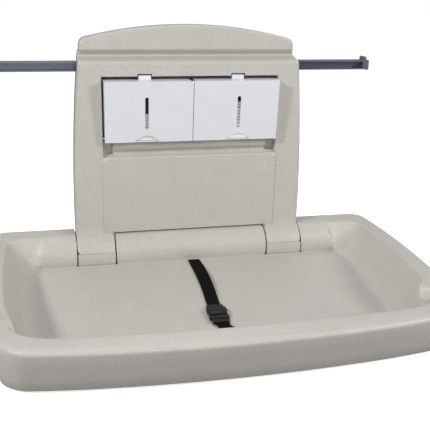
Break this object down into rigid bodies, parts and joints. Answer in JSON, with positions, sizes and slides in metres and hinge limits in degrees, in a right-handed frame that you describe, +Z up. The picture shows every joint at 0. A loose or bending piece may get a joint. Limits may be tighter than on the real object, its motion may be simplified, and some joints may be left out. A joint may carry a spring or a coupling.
{
  "type": "changing table",
  "caption": "Wall-mounted changing table with a fold-down bed, hinged on a moulded wall panel with liner dispensers and a steel mounting bar.",
  "frame": {"origin": "on the wall plane, at the middle of the hinge plate's back face, level with the hinge axis", "axes": "+X to the right across the bed, +Y into the wall, +Z up"},
  "size_m": [0.8398, 0.574, 0.519],
  "materials": {
    "grey_polyethylene": "moulded, finely textured",
    "painted_steel": "satin slate paint",
    "white_abs": "moulded, satin",
    "paper": "folded tissue",
    "webbing": "woven nylon",
    "black_acetal": "moulded",
    "dark_nylon": "moulded",
    "zinc_plated_steel": "zinc plated"
  },
  "bodies": {
    "wall_unit": {"wall_panel": "grey_polyethylene", "mounting_bar": "painted_steel", "hinge_plate": "zinc_plated_steel", "tub_pin_middle": "zinc_plated_steel", "bar_screw_left": "zinc_plated_steel", "plate_screw_left_outer": "zinc_plated_steel", "plate_screw_left_inner": "zinc_plated_steel", "hinge_pin_left": "zinc_plated_steel", "finger_cover_left": "grey_polyethylene", "cover_screw_left": "zinc_plated_steel", "tub_pin_left": "zinc_plated_steel", "bar_screw_right": "zinc_plated_steel", "plate_screw_right_outer": "zinc_plated_steel", "plate_screw_right_inner": "zinc_plated_steel", "hinge_pin_right": "zinc_plated_steel", "finger_cover_right": "grey_polyethylene", "cover_screw_right": "zinc_plated_steel", "tub_pin_right": "zinc_plated_steel"},
    "bed": {"bed_shell": "grey_polyethylene", "bed_underside": "grey_polyethylene", "hinge_damper": "dark_nylon", "strap_back": "webbing", "strap_front": "webbing", "strap_anchor_back": "zinc_plated_steel", "strap_anchor_front": "dark_nylon", "buckle_socket": "black_acetal", "hinge_bush_left_inner": "dark_nylon", "hinge_bush_left_outer": "dark_nylon", "hinge_bush_right_inner": "dark_nylon", "hinge_bush_right_outer": "dark_nylon", "underside_screw_1": "zinc_plated_steel", "underside_screw_2": "zinc_plated_steel", "underside_screw_3": "zinc_plated_steel", "underside_screw_4": "zinc_plated_steel", "underside_screw_5": "zinc_plated_steel", "underside_screw_6": "zinc_plated_steel"},
    "buckle_plug": {"buckle_plug": "black_acetal"},
    "tub_left": {"dispenser_tub_left": "white_abs", "liner_stack_left": "paper"},
    "tab_left": {"latch_tab_left": "white_abs"},
    "tub_right": {"dispenser_tub_right": "white_abs", "liner_stack_right": "paper"},
    "tab_right": {"latch_tab_right": "white_abs"}
  },
  "joints": [
    {"name": "bed_fold", "type": "hinge", "parent": "wall_unit", "child": "bed", "pos_m": [0, -0.056, 0], "axis": [-1, 0, 0], "range_deg": [0, 90]},
    {"name": "buckle_release", "type": "slide", "parent": "bed", "child": "buckle_plug", "axis": [0, -0.9954, -0.0961], "range_m": [0, 0.026], "deforming": ["strap_front"]},
    {"name": "tub_left_tilt", "type": "hinge", "parent": "wall_unit", "child": "tub_left", "pos_m": [-0.09, -0.064, 0.246], "axis": [-1, 0, 0], "range_deg": [-25, 0]},
    {"name": "tab_left_press", "type": "slide", "parent": "tub_left", "child": "tab_left", "axis": [0, 0, -1], "range_m": [0, 0.002], "stiffness_N_per_m": 900, "springref_m": -0.002},
    {"name": "tub_right_tilt", "type": "hinge", "parent": "wall_unit", "child": "tub_right", "pos_m": [0.09, -0.064, 0.246], "axis": [-1, 0, 0], "range_deg": [-25, 0]},
    {"name": "tab_right_press", "type": "slide", "parent": "tub_right", "child": "tab_right", "axis": [0, 0, -1], "range_m": [0, 0.002], "stiffness_N_per_m": 900, "springref_m": -0.002}
  ]
}
